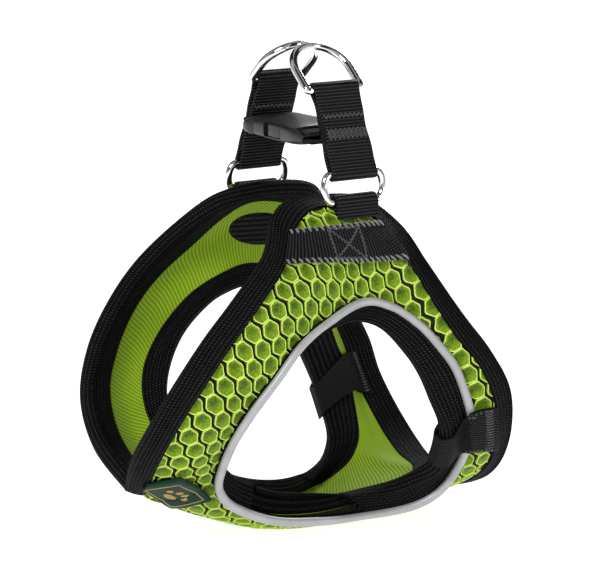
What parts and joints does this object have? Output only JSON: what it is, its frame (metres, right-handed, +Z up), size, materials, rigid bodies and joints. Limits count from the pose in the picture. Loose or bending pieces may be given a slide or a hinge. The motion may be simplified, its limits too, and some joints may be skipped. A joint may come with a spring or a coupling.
{
  "type": "dog step-in harness vest",
  "caption": "Padded step-in harness vest for a small dog: honeycomb mesh, two leg holes, bound edges, straps with D-rings and a side-release buckle on the back.",
  "frame": {"origin": "on the rest plane under the belly, at the middle of the bounding box", "axes": "+X to the tail end, -X to the neck end, -Y the left side, +Z up towards the back straps"},
  "size_m": [0.1608, 0.1144, 0.196],
  "materials": {
    "lime_mesh": "lime honeycomb spacer mesh",
    "foam": "soft polyurethane foam",
    "lime_knit": "fine ribbed polyester knit",
    "black_tape": "ribbed knitted binding tape",
    "black_webbing": "ribbed polyester webbing",
    "reflective_piping": "grey reflective fabric over cord",
    "chrome": "polished chromed steel wire",
    "black_plastic": "satin moulded acetal",
    "green_rubber": "moulded soft rubber"
  },
  "bodies": {
    "vest": {"chest_label": "green_rubber", "edge_binding": "black_tape", "left_back_strip": "black_webbing", "left_leg_binding": "black_tape", "left_lining": "lime_knit", "left_mesh_panel": "lime_mesh", "left_padding": "foam", "left_reflective_piping": "reflective_piping", "left_ring_loop": "black_webbing", "left_side_patch": "black_webbing", "right_back_strip": "black_webbing", "right_leg_binding": "black_tape", "right_lining": "lime_knit", "right_mesh_panel": "lime_mesh", "right_padding": "foam", "right_reflective_piping": "reflective_piping", "right_ring_loop": "black_webbing", "right_side_patch": "black_webbing"},
    "left_ring": {"left_oval_ring": "chrome"},
    "right_ring": {"right_oval_ring": "chrome"},
    "left_strap": {"left_strap": "black_webbing", "left_buckle_tab": "black_webbing"},
    "right_strap": {"right_strap": "black_webbing", "right_buckle_tab": "black_webbing"},
    "left_d_ring": {"left_d_ring": "chrome"},
    "right_d_ring": {"right_d_ring": "chrome"},
    "socket": {"buckle_socket": "black_plastic"},
    "plug": {"buckle_plug": "black_plastic"},
    "front_arm": {"front_latch_arm": "black_plastic"},
    "rear_arm": {"rear_latch_arm": "black_plastic"}
  },
  "joints": [
    {"name": "left_ring_swing", "type": "hinge", "parent": "vest", "child": "left_ring", "pos_m": [0.0112, -0.031, 0.1367], "axis": [1, 0, 0], "range_deg": [0, 50]},
    {"name": "left_strap_swing", "type": "hinge", "parent": "left_ring", "child": "left_strap", "pos_m": [0.0112, -0.0298, 0.1477], "axis": [1, 0, 0], "range_deg": [0, 30]},
    {"name": "socket_pivot", "type": "hinge", "parent": "left_strap", "child": "socket", "pos_m": [0.0042, -0.019, 0.1616], "axis": [1, 0, 0], "range_deg": [-80, 0]},
    {"name": "right_ring_swing", "type": "hinge", "parent": "vest", "child": "right_ring", "pos_m": [0.0052, 0.033, 0.1333], "axis": [-1, 0, 0], "range_deg": [0, 50]},
    {"name": "right_strap_swing", "type": "hinge", "parent": "right_ring", "child": "right_strap", "pos_m": [0.0052, 0.0312, 0.1443], "axis": [-1, 0, 0], "range_deg": [0, 30]},
    {"name": "plug_pivot", "type": "hinge", "parent": "right_strap", "child": "plug", "pos_m": [0.0042, 0.019, 0.1616], "axis": [-1, 0, 0], "range_deg": [-80, 0]},
    {"name": "left_d_ring_swing", "type": "hinge", "parent": "left_strap", "child": "left_d_ring", "pos_m": [0.0082, -0.021, 0.1796], "axis": [1, 0, 0], "range_deg": [0, 110]},
    {"name": "right_d_ring_swing", "type": "hinge", "parent": "right_strap", "child": "right_d_ring", "pos_m": [0.0082, 0.021, 0.1796], "axis": [-1, 0, 0], "range_deg": [0, 110]},
    {"name": "front_latch_squeeze", "type": "hinge", "parent": "plug", "child": "front_arm", "pos_m": [-0.0041, 0.0126, 0.1616], "axis": [0, 0, 1], "range_deg": [0, 6], "stiffness_Nm_per_rad": 0.05},
    {"name": "rear_latch_squeeze", "type": "hinge", "parent": "plug", "child": "rear_arm", "pos_m": [0.0125, 0.0126, 0.1616], "axis": [0, 0, -1], "range_deg": [0, 6], "stiffness_Nm_per_rad": 0.05}
  ],
  "couplings": [
    {"joint": "left_strap_swing", "follows": "left_ring_swing", "ratio": 0.6},
    {"joint": "socket_pivot", "follows": "left_ring_swing", "ratio": -1.6},
    {"joint": "right_ring_swing", "follows": "left_ring_swing", "ratio": 1},
    {"joint": "right_strap_swing", "follows": "left_ring_swing", "ratio": 0.6},
    {"joint": "plug_pivot", "follows": "left_ring_swing", "ratio": -1.6},
    {"joint": "rear_latch_squeeze", "follows": "front_latch_squeeze", "ratio": 1}
  ]
}
